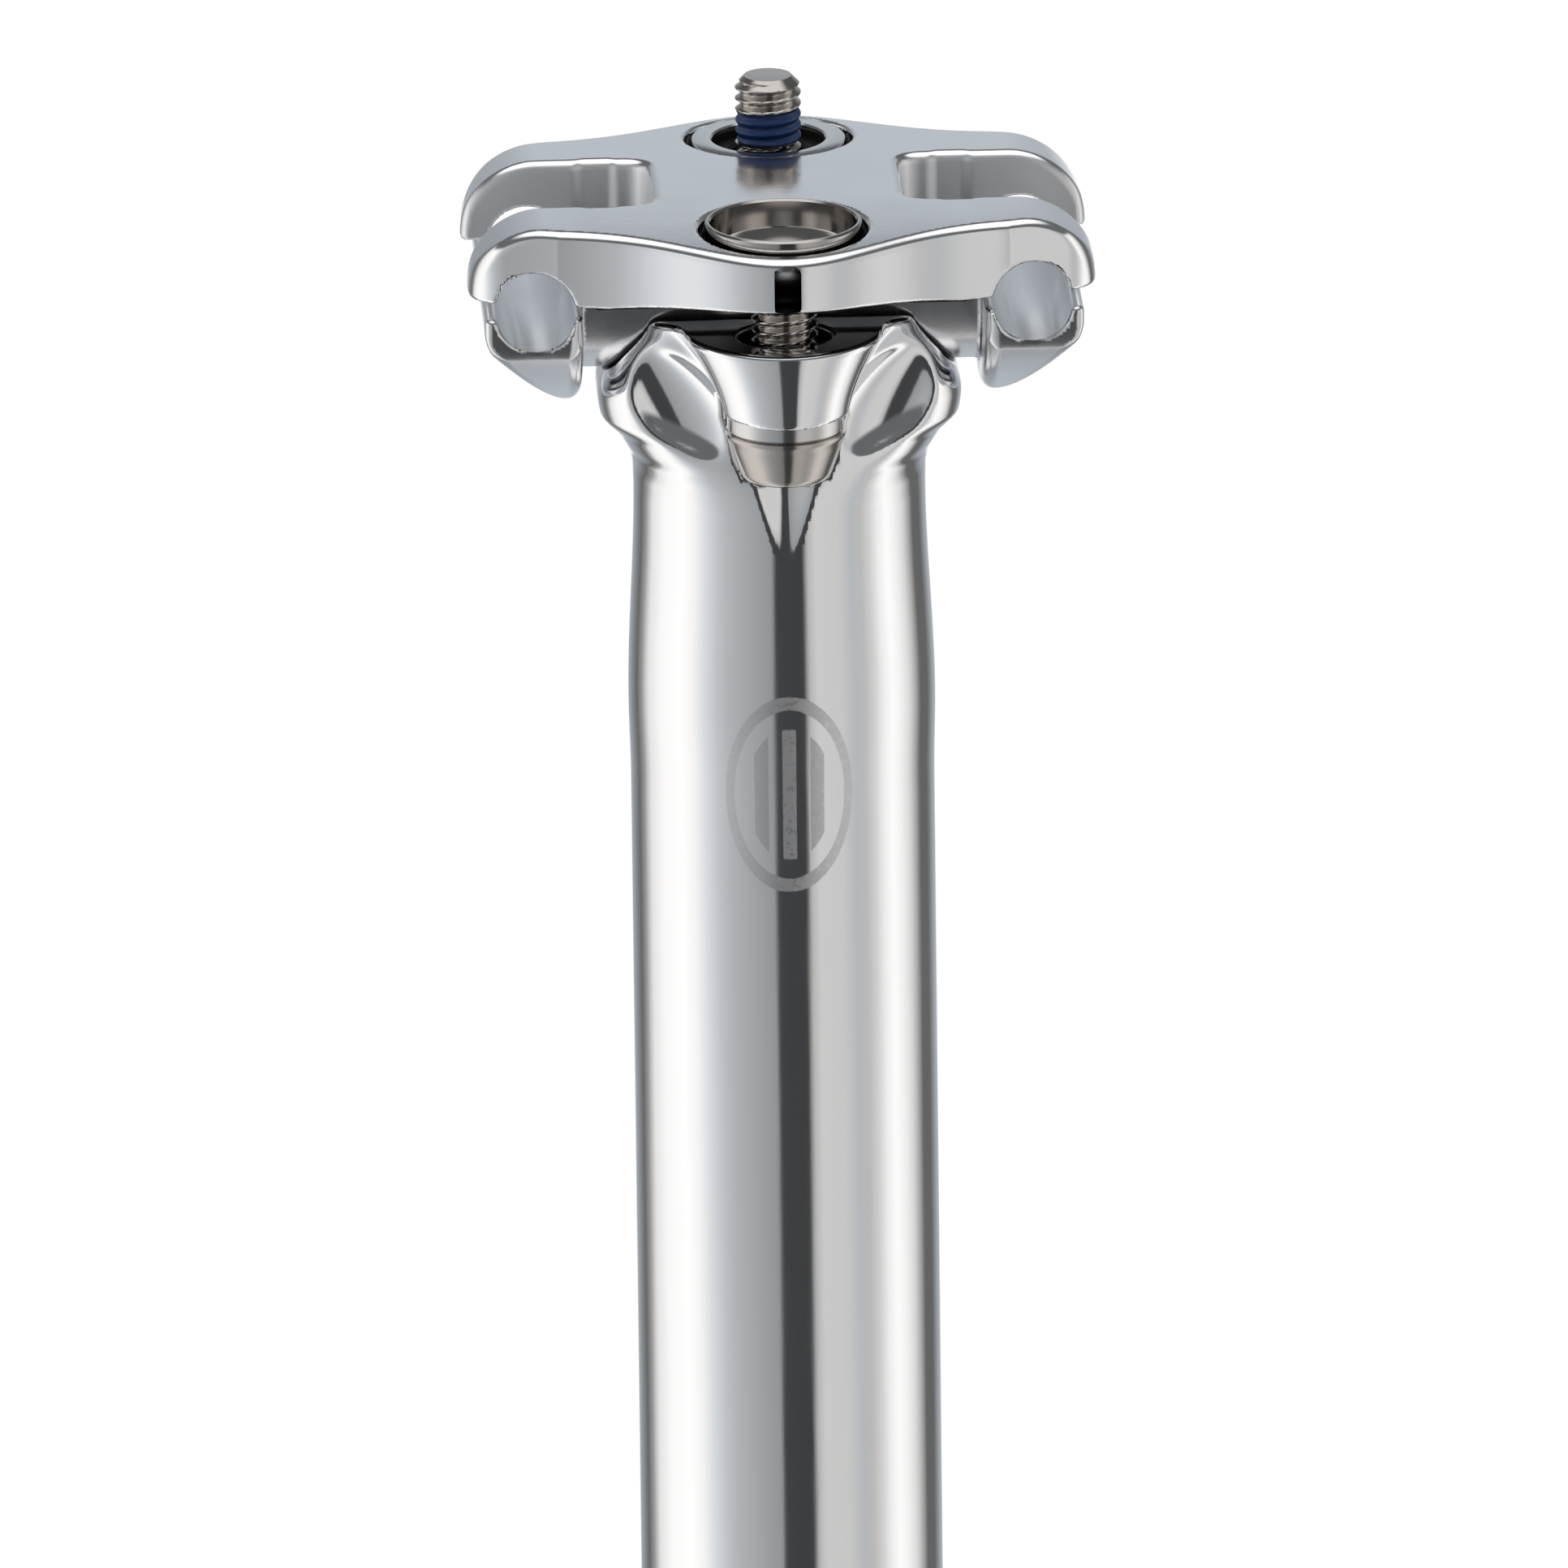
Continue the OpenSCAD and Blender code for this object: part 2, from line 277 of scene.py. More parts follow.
# Rows turned about a vertical axis. A row is (z, radius), the radius a number or one for each segment.
def lathe(rows, segments, centre):
    turn = np.arange(segments) * 2 * np.pi / segments
    points, faces = [], []
    for z, r in rows:
        r = np.broadcast_to(r, segments)
        x, y = centre[0] + r * np.cos(turn), centre[1] + r * np.sin(turn)
        points.append(np.stack([x, y, np.full(segments, z)], 1))
    count = len(rows)
    for i in range(count - 1):
        for j in range(segments):
            k = (j + 1) % segments
            faces.append((i * segments + j, i * segments + k, (i + 1) * segments + k, (i + 1) * segments + j))
    return np.vstack(points), faces


def closedLathe(rows, segments, centre):  # the last row joined to the first
    points, faces = lathe(rows, segments, centre)
    last = (len(rows) - 1) * segments
    for j in range(segments):
        k = (j + 1) % segments
        faces.append((last + j, last + k, k, j))
    return points, faces


def cappedLathe(rows, segments, centre):  # a face over the first row and over the last
    points, faces = lathe(rows, segments, centre)
    last = (len(rows) - 1) * segments
    faces.append(tuple(reversed(range(segments))))
    faces.append(tuple(range(last, last + segments)))
    return points, faces


# Post
post = {
    "step": 0.33,
    "waist": [-40, -20.5, -18.7, -16.8, -15.5, -14.3, -12.6, -11.2, -7, -2.6],  # heights of the next three
    "halfWidth": [13.74, 13.05, 13.1, 13.4, 14.0, 14.7, 16.1, 16.25, 14.6, 12.8],
    "halfDepth": [13.74, 13.05, 12.9, 12.5, 12.2, 11.9, 11.6, 11.5, 11.3, 11.0],
    "squareness": [2, 2, 2.05, 2.3, 2.6, 2.9, 3.3, 3.5, 4.4, 5],
    "swellStart": -47.5,
    "bossTopRadius": 9.2,
    "bossBottomRadius": 5.7,
    "bossReach": 21.2,
    "bossBottom": -9.6,
    "bossHeight": 7,
    "bossFlare": 1.6,
    "bossBlend": 3.6,
    "headTop": -2.6,
    "topEdge": 0.6,
    "leafTop": (15.2, 12.7, -4.8),
    "leafTip": (5.6, 15.0, -14.4),
    "leafRadius": 5.0,
    "leafEdge": 0.7,
    "troughRadius": 9.08,
    "troughEdge": 0.5,
    "pocketRadius": 6.2,
    "pocketTop": -11.3,
    "pocketDepth": 5,
    "pocketTaper": 0.43,
    "pocketEdge": 0.75,
    "grooveStart": 4,
    "grooveFoot": 11.2,
    "grooveSlope": 0.29,
    "grooveRadius": 3.8,
    "grooveNarrowing": 0.38,
    "grooveTip": 0.4,
    "seatRadius": 12.08,
    "holeRadius": 4.15,
    "holeBottom": -12,
    "holeEdge": 0.3,
    "boreRadius": 11.4,
    "boreTop": -32,
    "boreCone": 7,
    "boreTipRadius": 3,
    "cutZ": -50,
    "endChamfer": 0.5,
}


def headBody(x, y, z):  # the tube widening into the head, with the bosses, the leaf scoops and the trough
    s = post
    swellTop = s["waist"][0]
    swell = ease((z - s["swellStart"]) / (swellTop - s["swellStart"]))
    plain = tubeRadius + (s["halfWidth"][0] - tubeRadius) * swell
    a = np.where(z < swellTop, plain, curve(z, s["waist"], s["halfWidth"]))
    b = np.where(z < swellTop, plain, curve(z, s["waist"], s["halfDepth"]))
    n = np.where(z < swellTop, 2.0, curve(z, s["waist"], s["squareness"]))
    q = ((x / a + smallest) ** n + (y / b + smallest) ** n) ** (1 / n)
    f = (q - 1) * b
    t = np.clip((z - s["bossBottom"]) / s["bossHeight"], 0, 1.3)
    r = s["bossBottomRadius"] + (s["bossTopRadius"] - s["bossBottomRadius"]) * t ** s["bossFlare"]
    boss = np.sqrt(x * x + (y - s["bossReach"] + r) ** 2) - r
    boss = roundedBoth(boss, s["bossBottom"] - z, 0.5)
    f = softUnion(f, boss, s["bossBlend"])
    f = roundedBoth(f, z - s["headTop"], s["topEdge"])
    f = softCut(f, longDrop(x, y, z, s["leafTop"], s["leafTip"], s["leafRadius"]), s["leafEdge"])
    return cutAway(f, np.sqrt(y * y + z * z) - s["troughRadius"], s["troughEdge"])


def keyPocket(x, y, z, beside):  # the tapered well below a bolt, and the V groove running down from it
    s = post
    down = s["pocketTop"] - z
    well = beside - s["pocketRadius"] + s["pocketTaper"] * np.maximum(down, 0)
    well = np.maximum(well, down - s["pocketDepth"])
    along = down - s["grooveStart"]
    grooveR = np.maximum(s["grooveRadius"] - s["grooveNarrowing"] * along, s["grooveTip"])
    grooveY = s["grooveFoot"] + s["grooveSlope"] * along + grooveR
    groove = np.maximum(np.sqrt(x * x + (y - grooveY) ** 2) - grooveR, -0.3 - along)
    return np.maximum(softUnion(well, groove, 1.2), z - s["bossBottom"])


def postField(x, y, z):
    s = post
    x, y = np.abs(x), np.abs(y)
    f = headBody(x, y, z)
    beside = np.sqrt(x * x + (y - boltY) ** 2)
    f = cutAway(f, keyPocket(x, y, z, beside), s["pocketEdge"])
    seat = np.sqrt(x * x + (y - boltY) ** 2 + (z - swivelZ) ** 2) - s["seatRadius"]
    seat = np.maximum(np.maximum(seat, beside - s["pocketRadius"]), s["bossBottom"] - 1 - z)
    f = np.maximum(f, -seat)
    hole = np.maximum(beside - s["holeRadius"], s["holeBottom"] - z)
    f = cutAway(f, hole, s["holeEdge"])
    level = np.clip((z - s["boreTop"]) / s["boreCone"], 0, 1)
    bore = np.sqrt(x * x + y * y) - s["boreRadius"] + level * (s["boreRadius"] - s["boreTipRadius"])
    bore = np.maximum(bore, z - s["boreTop"] - s["boreCone"])
    return np.maximum(f, -bore)


def buildPost():
    step = post["step"] * coarse
    low = np.array([-17.3, -22.2, post["cutZ"] - 0.01])
    high = np.array([17.3, 22.2, postHigh[2] + 0.6])
    p, quads, normals = netFrom(postField, low, high, step, closed=False)
    rim = rimOf(quads)
    ends = np.unique(rim)
    p[ends, 2] = post["cutZ"]
    radius = np.hypot(p[ends, 0], p[ends, 1])
    outer = radius > (tubeRadius + post["boreRadius"]) / 2  # the outer wall's rim, not the bore's
    unit = p[ends, :2] / radius[:, None]
    whole = np.where(outer, tubeRadius, post["boreRadius"])
    p[ends, :2] = unit * whole[:, None]
    normals[ends] = np.column_stack([unit * np.where(outer, 1, -1)[:, None], np.zeros(len(ends))])
    chamfer = post["endChamfer"]
    endZ = postLow[2]
    faces = quads.tolist()
    points, allNormals = [p], [normals]
    place = {int(v): i for i, v in enumerate(ends)}
    previous = ends
    count = len(p)
    inward = np.where(outer, -1, 1)
    for z, offset in ((endZ + chamfer, 0), (endZ, chamfer)):  # down to the chamfer, then over it
        ring = np.column_stack([unit * (whole + inward * offset)[:, None], np.full(len(ends), z)])
        points.append(ring)
        allNormals.append(normals[ends])
        for a, b in rim:
            i, j = place[int(a)], place[int(b)]
            faces.append([int(previous[j]), int(previous[i]), count + i, count + j])
        previous = count + np.arange(len(ends))
        count += len(ends)
    points, allNormals = np.vstack(points), np.vstack(allNormals)
    angle = np.arctan2(unit[:, 1], unit[:, 0])  # the end face joins the two rims round the ring
    loops = [previous[w][np.argsort(angle[w])] for w in (outer, ~outer)]
    turns = [np.sort(angle[w]) for w in (outer, ~outer)]
    i = j = 0
    out, inn = loops
    while i < len(out) or j < len(inn):
        nextOut = turns[0][i + 1] if i + 1 < len(out) else turns[0][0] + 2 * np.pi + (i >= len(out)) * 9
        nextIn = turns[1][j + 1] if j + 1 < len(inn) else turns[1][0] + 2 * np.pi + (j >= len(inn)) * 9
        a, b = out[i % len(out)], inn[j % len(inn)]
        if j >= len(inn) or (i < len(out) and nextOut <= nextIn):
            faces.append([int(a), int(b), int(out[(i + 1) % len(out)])])
            i += 1
        else:
            faces.append([int(a), int(b), int(inn[(j + 1) % len(inn)])])
            j += 1
    return makePiece("postForging", points, faces, allNormals)


postPiece = buildPost()
print("post", len(postPiece.data.polygons))

# Upper clamp
clamp = {
    "step": 0.32,
    "top": clampHigh[2],
    "bottom": 0.5,
    "arch": 1.5,
    "archHalf": 15.7,
    "dome": 0.0016,
    "shoulder": 21,
    "tipReach": clampHigh[0],
    "barHalf": 14.3,
    "noseReach": 9.2,
    "noseWidth": 11.85,
    "nosePower": 2.08,
    "taperFrom": 20,
    "taper": 0.17,
    "cornerRadius": 3.5,
    "slotStart": 11.3,
    "slotHalf": 6.7,
    "slotWider": 0.35,
    "slotCorner": 2.0,
    "slotMouth": 1.2,
    "topEdge": 0.9,
    "bottomEdge": 0.4,
    "nutHole": 7.5,
    "nutHoleEdge": 0.35,
    "ledgeHole": 5.8,
    "seatRadius": 8.08,
    "seatDrop": 3,
}


def clampField(x, y, z):
    s = clamp
    x, y = np.abs(x), np.abs(y)
    width, power = s["noseWidth"], s["nosePower"]
    nose = s["noseReach"] * np.exp(-((x / width) ** power))
    edge = s["barHalf"] + nose - s["taper"] * np.maximum(x - s["taperFrom"], 0)
    slope = nose * power * (x / width) ** (power - 1) / width
    plan = (y - edge) / np.sqrt(1 + slope * slope)
    plan = roundedBoth(plan, x - s["tipReach"], s["cornerRadius"])
    slotHalf = s["slotHalf"] + s["slotWider"] * ease((x - 13.6) / 1.2) * ease((18 - x) / 1.2)
    slot = roundedBoth(s["slotStart"] - x, y - slotHalf, s["slotCorner"])
    plan = roundedBoth(plan, -slot, s["slotMouth"])
    bend = s["tipReach"] - s["shoulder"]  # radius of the fingers' rounded ends
    over = np.maximum(x - s["shoulder"], 0)
    turned = np.sqrt(over**2 + np.maximum(z - s["top"] + bend, 0) ** 2) - bend
    top = np.where(z > s["top"] - bend, turned, over - bend)
    top = top + s["dome"] * y * y
    f = roundedBoth(plan, top, s["topEdge"])
    under = s["bottom"] + s["arch"] * np.cos(np.pi / 2 * np.minimum(x, s["archHalf"]) / s["archHalf"])
    f = roundedBoth(f, under - z, s["bottomEdge"])
    f = cutAway(f, np.sqrt((x - railX) ** 2 + z * z) - railRadius, 0.3)
    beside = np.sqrt(x * x + (y - boltY) ** 2)
    seat = np.sqrt(x * x + (y - boltY) ** 2 + (z - nutCentreZ) ** 2) - s["seatRadius"]
    well = np.maximum(beside - s["nutHole"], np.minimum(seat, nutCentreZ - s["seatDrop"] - z))
    f = cutAway(f, well, s["nutHoleEdge"])
    return cutAway(f, beside - s["ledgeHole"], 0.3)


def buildNet(name, field, low, high, step):
    pad = 1.2 * step * coarse
    p, quads, normals = netFrom(field, np.array(low) - pad, np.array(high) + pad, step * coarse)
    return makePiece(name, p, quads.tolist(), normals)


clampPiece = buildNet("upperClampPlate", clampField, clampLow, clampHigh, clamp["step"])
print("upper clamp", len(clampPiece.data.polygons))

# Lower cradle
cradle = {
    "step": 0.32,
    "barrelRadius": 9,
    "barrelTop": -0.9,
    "blockInner": 17.8,
    "blockInnerEdge": 1.3,
    "bellyRadius": 18.5,
    "bellyCentre": 7,
    "slantFrom": (26.1, -3.7),
    "slantRise": 6.94,
    "slantRun": 6.1,
    "edge": 0.7,
}


def cradleField(x, y, z):
    s = cradle
    x, y = np.abs(x), np.abs(y)
    barrel = np.sqrt(y * y + z * z) - s["barrelRadius"]
    barrel = roundedBoth(barrel, z - s["barrelTop"], 0.5)
    barrel = np.maximum(barrel, x - s["blockInner"] - 0.8)
    belly = np.sqrt(y * y + (z - s["bellyCentre"]) ** 2) - s["bellyRadius"]
    block = roundedBoth(belly, y - cradleHigh[1], s["edge"])
    block = roundedBoth(block, s["blockInner"] - x, s["blockInnerEdge"])
    (slantX, slantZ), rise, run = s["slantFrom"], s["slantRise"], s["slantRun"]
    slant = ((x - slantX) * rise - (z - slantZ) * run) / math.hypot(rise, run)
    outer = roundedBoth(x - cradleHigh[0] + 0.05, slant, 0.9)
    block = roundedBoth(block, outer, s["edge"])
    block = roundedBoth(block, z - cradleHigh[2], 0.45)
    f = roundedUnion(barrel, block, 0.3)
    return cutAway(f, np.sqrt((x - railX) ** 2 + z * z) - railRadius, 0.3)


cradlePiece = buildNet("lowerCradleForging", cradleField, cradleLow, cradleHigh, cradle["step"])
print("lower cradle", len(cradlePiece.data.polygons))

# Bolts
bolt = {
    "radius": 2.95,
    "rootRadius": 2.45,
    "pitch": 1.0,
    "threadStart": -6.0,
    "headTop": -11.3,
    "headBottom": -15.7,
    "headRadius": 5.35,
    "keyWidth": 5.0,
    "socketDepth": 3.2,
    "tipChamfer": 0.9,
    "headProfile": [  # height above the head's bottom, and how far inside its full radius
        (0, -1.85), (0.06, -1.6), (0.22, -1.42), (0.7, -1.2), (3.2, -0.32), (3.75, -0.14), (4.0, -0.02),
    ],
    "patchCore": 2.5,
}


def threadRadius(z, turn, start, crest, root):  # the ridges deepen over the first turn past the start
    phase = (z / bolt["pitch"] - turn / (2 * np.pi)) % 1.0
    ridge = np.clip(np.minimum(phase, 1 - phase) * 2 * 1.35 - 0.16, 0, 1)
    depth = (crest - root) * np.clip((z - start) / bolt["pitch"], 0, 1)
    return crest - depth * (1 - ridge)


def buildBolt(name, y, node, patchNode):
    s = bolt
    top = boxOf(node)[1][2]
    patchLow, patchHigh = (corner[2] for corner in boxOf(patchNode))
    segments = 96
    turn = np.arange(segments) * 2 * np.pi / segments
    sixth = np.pi / 3
    hexR = s["keyWidth"] / 2 / np.cos((turn + sixth / 2) % sixth - sixth / 2)
    headR, low = s["headRadius"], s["headBottom"]
    rows = [(low + s["socketDepth"] + 0.9, 0.02), (low + s["socketDepth"], hexR * 0.99)]
    rows += [(low + 0.25, hexR), (low, hexR + 0.25)]
    rows += [(low + z, headR + r) for z, r in s["headProfile"]]
    rows += [(s["headTop"] - 0.3, headR), (s["headTop"] - 0.08, headR - 0.06), (s["headTop"], headR - 0.28)]
    rows += [(s["headTop"], s["radius"] + 0.3), (s["headTop"] + 0.3, s["radius"])]
    step = s["pitch"] / 14
    z = s["threadStart"]
    tip = top - s["tipChamfer"] * 0.95
    while z < top - 0.02:
        r = threadRadius(z, turn, s["threadStart"], s["radius"], s["rootRadius"])
        r = np.minimum(r, s["radius"] - np.clip(z - tip, 0, 9))
        if patchLow - 0.02 < z < patchHigh + 0.02:
            r = np.minimum(r, s["patchCore"])
        rows.append((z, r))
        z += step
    rows += [(top - 0.02, s["radius"] - s["tipChamfer"] - 0.1), (top, 0.9), (top, 0.02)]
    points, faces = cappedLathe(rows, segments, (0, y))
    return makePiece(name, points, faces, sharp=32)


def buildPatch(name, y, node):  # a thin sleeve over the thread, which shows through it
    low, high = (corner[2] for corner in boxOf(node))
    segments = 96
    turn = np.arange(segments) * 2 * np.pi / segments
    rows = [(high, bolt["patchCore"] + 0.05), (low, bolt["patchCore"] + 0.05)]
    z = low
    while z < high:
        near = min(z - low, high - z)
        r = threadRadius(z, turn, -99, bolt["radius"] - 0.01, bolt["radius"] - 0.24)
        rows.append((z, np.minimum(r, 2.62 + near)))
        z += bolt["pitch"] / 12
    rows.append((high, 2.62))
    points, faces = closedLathe(rows, segments, (0, y))
    return makePiece(name, points, faces, sharp=50)


boltFront = buildBolt("frontClampBolt", -boltY, "front_bolt", "front_bolt_patch")
boltRear = buildBolt("rearClampBolt", boltY, "rear_bolt", "rear_bolt_patch")
patchFront = buildPatch("frontLockingPatch", -boltY, "front_bolt_patch")
patchRear = buildPatch("rearLockingPatch", boltY, "rear_bolt_patch")
print("bolts")

# Washers
washer = {"radius": 5.2, "hole": 3.05, "domeRadius": 12, "edge": 0.25}


def buildWasher(name, y):
    s = washer
    low = washerLow[2] + 0.02  # a hair above the bolt's head, which turns under it
    edge = s["edge"]
    shoulder = swivelZ + math.sqrt(s["domeRadius"] ** 2 - s["radius"] ** 2)
    rows = [(low, s["hole"] + edge), (low, s["radius"] - edge), (low + edge, s["radius"])]
    rows.append((shoulder - 0.12, s["radius"]))
    for r in np.linspace(s["radius"] - 0.12, s["hole"] + edge, 9):
        rows.append((swivelZ + math.sqrt(s["domeRadius"] ** 2 - r * r), r))
    rows += [(rows[-1][0] - edge, s["hole"]), (low + edge, s["hole"])]
    points, faces = closedLathe(rows, 96, (0, y))
    return makePiece(name, points, faces)


washerFront = buildWasher("frontDomedWasher", -boltY)
washerRear = buildWasher("rearDomedWasher", boltY)

# Nuts
nut = {
    "radius": 6.95, "seatRadius": 8, "hole": 3.45, "spigot": 4.5,
    "cupWall": 0.5, "cupFloor": 3.4, "bowlWall": 0.9, "recess": 5.05, "recessFloor": 6.1,
}


def underRows(low):  # both nuts share the hole's lower rim, the spigot and the rounded underside
    s = nut
    rows = [(low, s["hole"] + 0.25), (low, s["spigot"] - 0.25), (low + 0.25, s["spigot"])]
    first = nutCentreZ - math.sqrt(s["seatRadius"] ** 2 - s["spigot"] ** 2)
    last = nutCentreZ - math.sqrt(s["seatRadius"] ** 2 - s["radius"] ** 2)
    for z in np.linspace(first, last, 15):
        rows.append((z, math.sqrt(s["seatRadius"] ** 2 - (z - nutCentreZ) ** 2)))
    return rows


def finishNut(name, rows, floorZ, low, y):  # down the hole from the floor of the cup or recess
    rows += [(floorZ, nut["hole"] + 0.3), (floorZ - 0.3, nut["hole"]), (low + 0.25, nut["hole"])]
    points, faces = closedLathe(rows, 128, (0, y))
    return makePiece(name, points, faces)


def buildFrontNut():
    s = nut
    low, high = (corner[2] for corner in boxOf("front_nut"))
    inner = s["radius"] - s["cupWall"]
    rows = underRows(low)
    rows += [(high - 0.18, s["radius"]), (high, s["radius"] - 0.16)]
    rows += [(high, inner + 0.16), (high - 0.18, inner)]
    bowl = s["seatRadius"] - s["bowlWall"]
    first = nutCentreZ - math.sqrt(bowl**2 - inner**2)
    for z in np.linspace(first, s["cupFloor"], 12):
        rows.append((z, math.sqrt(bowl**2 - (z - nutCentreZ) ** 2)))
    return finishNut("frontCupNut", rows, s["cupFloor"], low, -boltY)


def buildRearNut():
    s = nut
    low, high = (corner[2] for corner in boxOf("rear_nut"))
    rows = underRows(low)
    rows += [(high - 0.35, s["radius"]), (high - 0.1, s["radius"] - 0.1), (high, s["radius"] - 0.35)]
    rows += [(high, s["recess"] + 0.15), (high - 0.15, s["recess"]), (s["recessFloor"], s["recess"])]
    return finishNut("rearRingNut", rows, s["recessFloor"], low, boltY)


nutFront = buildFrontNut()
nutRear = buildRearNut()
print("washers and nuts")


# Materials
def newMaterial(name):
    material = bpy.data.materials.new(name)
    material.use_nodes = True
    nodes, links = material.node_tree.nodes, material.node_tree.links
    return material, nodes, links, nodes["Principled BSDF"]


def mathNode(nodes, links, operation, a, b=None):
    node = nodes.new("ShaderNodeMath")
    node.operation = operation
    for socket, value in zip(node.inputs, (a, b)):
        if value is None:
            continue
        if isinstance(value, (int, float)):
            socket.default_value = value
        else:
            links.new(value, socket)
    return node.outputs[0]


def noiseNode(nodes, links, vector, scale, detail=3):
    node = nodes.new("ShaderNodeTexNoise")
    node.inputs["Scale"].default_value = scale
    node.inputs["Detail"].default_value = detail
    links.new(vector, node.inputs["Vector"])
    return node.outputs["Fac"]


def stretched(nodes, links, vector, scale):
    node = nodes.new("ShaderNodeMapping")
    node.inputs["Scale"].default_value = scale
    links.new(vector, node.inputs["Vector"])
    return node.outputs["Vector"]


def remapped(nodes, links, value, low, high, fromLow=0.3, fromHigh=0.7):
    node = nodes.new("ShaderNodeMapRange")
    for name, number in (("From Min", fromLow), ("From Max", fromHigh), ("To Min", low), ("To Max", high)):
        node.inputs[name].default_value = number
    links.new(value, node.inputs["Value"])
    return node.outputs["Result"]


def bumped(nodes, links, shader, height, strength, distance=0.0002):
    node = nodes.new("ShaderNodeBump")
    node.inputs["Strength"].default_value = strength
    node.inputs["Distance"].default_value = distance
    links.new(height, node.inputs["Height"])
    links.new(node.outputs["Normal"], shader.inputs["Normal"])


def mixedValue(nodes, links, mask, a, b):
    node = nodes.new("ShaderNodeMix")
    links.new(mask, node.inputs["Factor"])
    if isinstance(a, (int, float)):
        node.inputs[2].default_value = a
    else:
        links.new(a, node.inputs[2])
    node.inputs[3].default_value = b
    return node.outputs[0]


def mixedColour(nodes, links, mask, a, b):
    node = nodes.new("ShaderNodeMix")
    node.data_type = "RGBA"
    links.new(mask, node.inputs["Factor"])
    if isinstance(a, tuple):
        node.inputs[6].default_value = (*a, 1)
    else:
        links.new(a, node.inputs[6])
    node.inputs[7].default_value = (*b, 1)
    return node.outputs[2]


def millimetres(nodes, links, coordinate):  # its three parts, in millimetres from the rails' centre
    split = nodes.new("ShaderNodeSeparateXYZ")
    links.new(coordinate, split.inputs[0])
    parts = [mathNode(nodes, links, "MULTIPLY", o, 1000.0) for o in split.outputs]
    parts[2] = mathNode(nodes, links, "SUBTRACT", parts[2], railsHeight * 1000)
    return parts


def distanceTo(nodes, links, a, b, away=0.0):  # from an axis, b measured from the distance away on both sides
    do = lambda *v: mathNode(nodes, links, *v)
    b = do("SUBTRACT", do("ABSOLUTE", b), away)
    return do("SQRT", do("ADD", do("MULTIPLY", a, a), do("MULTIPLY", b, b)))


def under(nodes, links, value, edge, width=0.2):  # one below the edge, fading to nothing over the width
    return remapped(nodes, links, value, 1, 0, edge - width / 2, edge + width / 2)


def upwardness(nodes, links):  # the surface's own direction, up and down only
    split = nodes.new("ShaderNodeSeparateXYZ")
    links.new(nodes.new("ShaderNodeNewGeometry").outputs["Normal"], split.inputs[0])
    return split.outputs[2]


# The first two values are painted shade, a dark colour and its roughness for faces in shade. The last is a
# satin roughness only.
shadeAndMachined = {"shadeColour": (0.05, 0.048, 0.046), "shadeRough": 0.45, "machinedRough": 0.46}


# A metal whose roughness wanders between two values, with a fine grain.
# Faces that the shade mask picks out are painted dark as shade, and those that machined picks out are satin.
def metal(name, colour, low, high, bump, grain, scale, shadeMask=None, machined=None):
    material, nodes, links, shader = newMaterial(name)
    shader.inputs["Base Color"].default_value = (*colour, 1)
    shader.inputs["Metallic"].default_value = 1
    coordinate = nodes.new("ShaderNodeTexCoord").outputs["Object"]
    broad = noiseNode(nodes, links, coordinate, 140, 4)
    rough = remapped(nodes, links, broad, low, high)
    # painted shade: the mask's faces get the dark colour and its roughness
    if shadeMask:
        mask = shadeMask(nodes, links, *millimetres(nodes, links, coordinate))
        rough = mixedValue(nodes, links, mask, rough, shadeAndMachined["shadeRough"])
        tint = mixedColour(nodes, links, mask, colour, shadeAndMachined["shadeColour"])
        links.new(tint, shader.inputs["Base Color"])
    if machined:
        mask = machined(nodes, links, *millimetres(nodes, links, coordinate))
        rough = mixedValue(nodes, links, mask, rough, shadeAndMachined["machinedRough"])
    links.new(rough, shader.inputs["Roughness"])
    fine = noiseNode(nodes, links, stretched(nodes, links, coordinate, grain), scale, 2)
    bumped(nodes, links, shader, fine, bump)
    return material


# The last two values are painted shade: the dark colour and roughness of the post's trough and bolt holes.
polish = {
    "colour": (0.93, 0.935, 0.945), "smooth": 0.05, "hazy": 0.11,
    "shadeColour": (0.06, 0.057, 0.054), "shadeRough": 0.4,
}
mark = {
    "middle": -45.5, "halfWidth": 5.8, "halfHeight": 9.1, "line": 0.8, "barHalf": 0.62, "barGap": 2.5,
    "barsWithin": 0.67, "colour": (0.8, 0.8, 0.81), "rough": 0.42,
}


def etchedMark(nodes, links, coordinate, x, y, z):  # an upright oval ring round plain bars
    do = lambda *v: mathNode(nodes, links, *v)
    around = do("MULTIPLY", do("ARCTAN2", x, do("MULTIPLY", y, -1.0)), tubeRadius)
    up = do("SUBTRACT", z, mark["middle"])
    across = do("DIVIDE", around, mark["halfWidth"])
    tall = do("DIVIDE", up, mark["halfHeight"])
    oval = do("SQRT", do("ADD", do("MULTIPLY", across, across), do("MULTIPLY", tall, tall)))
    line = mark["line"] / mark["halfWidth"]
    ring = under(nodes, links, do("ABSOLUTE", do("SUBTRACT", oval, 1 - line / 2)), line / 2, 0.016)
    aside = do("ABSOLUTE", around)
    centreBar = under(nodes, links, aside, mark["barHalf"], 0.1)
    sideBar = under(nodes, links, do("ABSOLUTE", do("SUBTRACT", aside, mark["barGap"])), mark["barHalf"], 0.1)
    within = under(nodes, links, oval, mark["barsWithin"], 0.02)
    bars = do("MULTIPLY", do("MAXIMUM", centreBar, sideBar), within)
    worn = remapped(nodes, links, noiseNode(nodes, links, coordinate, 2600, 2), 0.75, 1.0, 0.35, 0.5)
    return do("MULTIPLY", do("MAXIMUM", ring, bars), worn)


